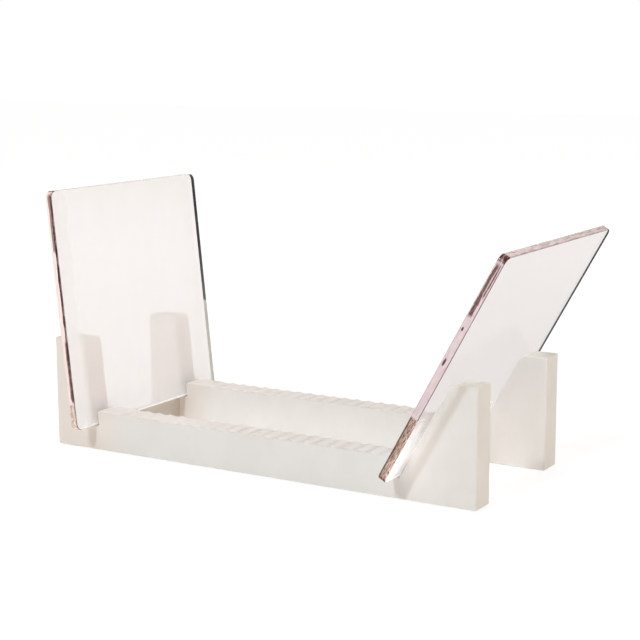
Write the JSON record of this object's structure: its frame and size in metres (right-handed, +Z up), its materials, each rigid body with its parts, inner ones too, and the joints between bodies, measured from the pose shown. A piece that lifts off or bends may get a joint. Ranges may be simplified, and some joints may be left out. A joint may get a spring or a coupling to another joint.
{
  "type": "vinyl record rack",
  "caption": "Low free-standing rack for records: scalloped rails between tall slotted posts, with clear square plates leaning outwards at both ends.",
  "frame": {"origin": "middle of the whole rack's outline, plates included, on the table that it stands on", "axes": "+X along the rails towards the plate that leans further out, +Y across the rack from the front side frame to the rear one, +Z up"},
  "size_m": [0.4324, 0.203, 0.2234],
  "materials": {
    "ivory_shell": "satin",
    "dowel_beech": "bare",
    "pad_rubber": "translucent grey",
    "clear_sheet": "clear, polished edges"
  },
  "bodies": {
    "rack": {"front_side_frame": "ivory_shell", "rear_side_frame": "ivory_shell", "left_cross_bar": "ivory_shell", "right_cross_bar": "ivory_shell", "joint_dowels": "dowel_beech", "foot_pads": "pad_rubber"},
    "left_panel": {"left_clear_panel": "clear_sheet"},
    "right_panel": {"right_clear_panel": "clear_sheet"}
  },
  "joints": [
    {"name": "left_panel_lift", "type": "slide", "parent": "rack", "child": "left_panel", "axis": [-0.1045, 0, 0.9945], "range_m": [0, 0.09]},
    {"name": "right_panel_lift", "type": "slide", "parent": "rack", "child": "right_panel", "axis": [0.4848, 0, 0.8746], "range_m": [0, 0.1]}
  ]
}
